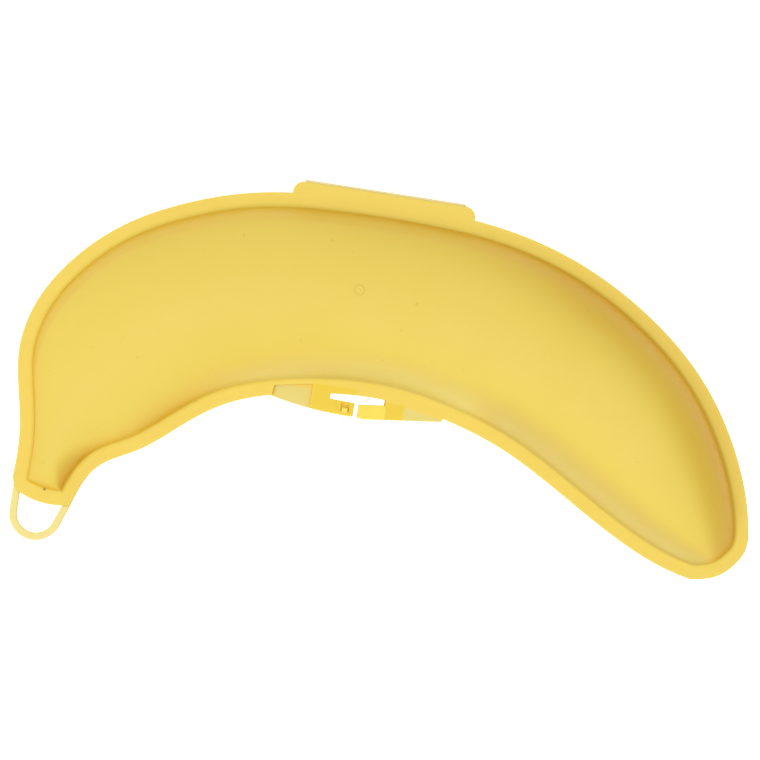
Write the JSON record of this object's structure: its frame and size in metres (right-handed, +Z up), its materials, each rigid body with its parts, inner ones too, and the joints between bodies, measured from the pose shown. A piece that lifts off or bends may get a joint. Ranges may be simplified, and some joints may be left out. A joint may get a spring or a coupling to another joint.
{
  "type": "banana carrying case",
  "caption": "Banana-shaped clamshell case of thin translucent plastic: two domed half shells on a living hinge, with a flexing two-arm snap latch and a hanging loop.",
  "frame": {"origin": "bottom centre of the bounding box of the closed case, lying flat", "axes": "+X along the hinge from the stem end to the tip, +Y from the latch to the hinge, +Z up through the thickness, the parting plane at z 0.025"},
  "size_m": [0.2599, 0.1382, 0.05],
  "materials": {
    "yellow_plastic": "translucent satin, injection moulded polypropylene",
    "flexed_film": "thin film, whitened by folding"
  },
  "bodies": {
    "lower_case": {"lower_shell": "yellow_plastic", "lower_hinge_leaf": "yellow_plastic", "hinge_film": "flexed_film", "lower_latch_tab": "yellow_plastic", "lower_keeper": "yellow_plastic", "hanging_loop": "yellow_plastic"},
    "upper_case": {"upper_shell": "yellow_plastic", "upper_hinge_leaf": "yellow_plastic", "upper_latch_tab": "yellow_plastic", "upper_keeper": "yellow_plastic"},
    "lower_arm": {"lower_latch_arm": "yellow_plastic", "lower_latch_hook": "yellow_plastic"},
    "upper_arm": {"upper_latch_arm": "yellow_plastic", "upper_latch_hook": "yellow_plastic"}
  },
  "joints": [
    {"name": "lid", "type": "hinge", "parent": "lower_case", "child": "upper_case", "pos_m": [-0.01249, 0.06921, 0.025], "axis": [-1, 0, 0], "range_deg": [0, 180], "deforming": ["hinge_film"]},
    {"name": "lower_catch", "type": "hinge", "parent": "lower_case", "child": "lower_arm", "pos_m": [-0.02079, -0.00748, 0.0241], "axis": [0, 0, 1], "range_deg": [0, 9], "stiffness_Nm_per_rad": 0.3},
    {"name": "upper_catch", "type": "hinge", "parent": "upper_case", "child": "upper_arm", "pos_m": [-0.00199, -0.00748, 0.0259], "axis": [0, 0, -1], "range_deg": [0, 9], "stiffness_Nm_per_rad": 0.3}
  ]
}
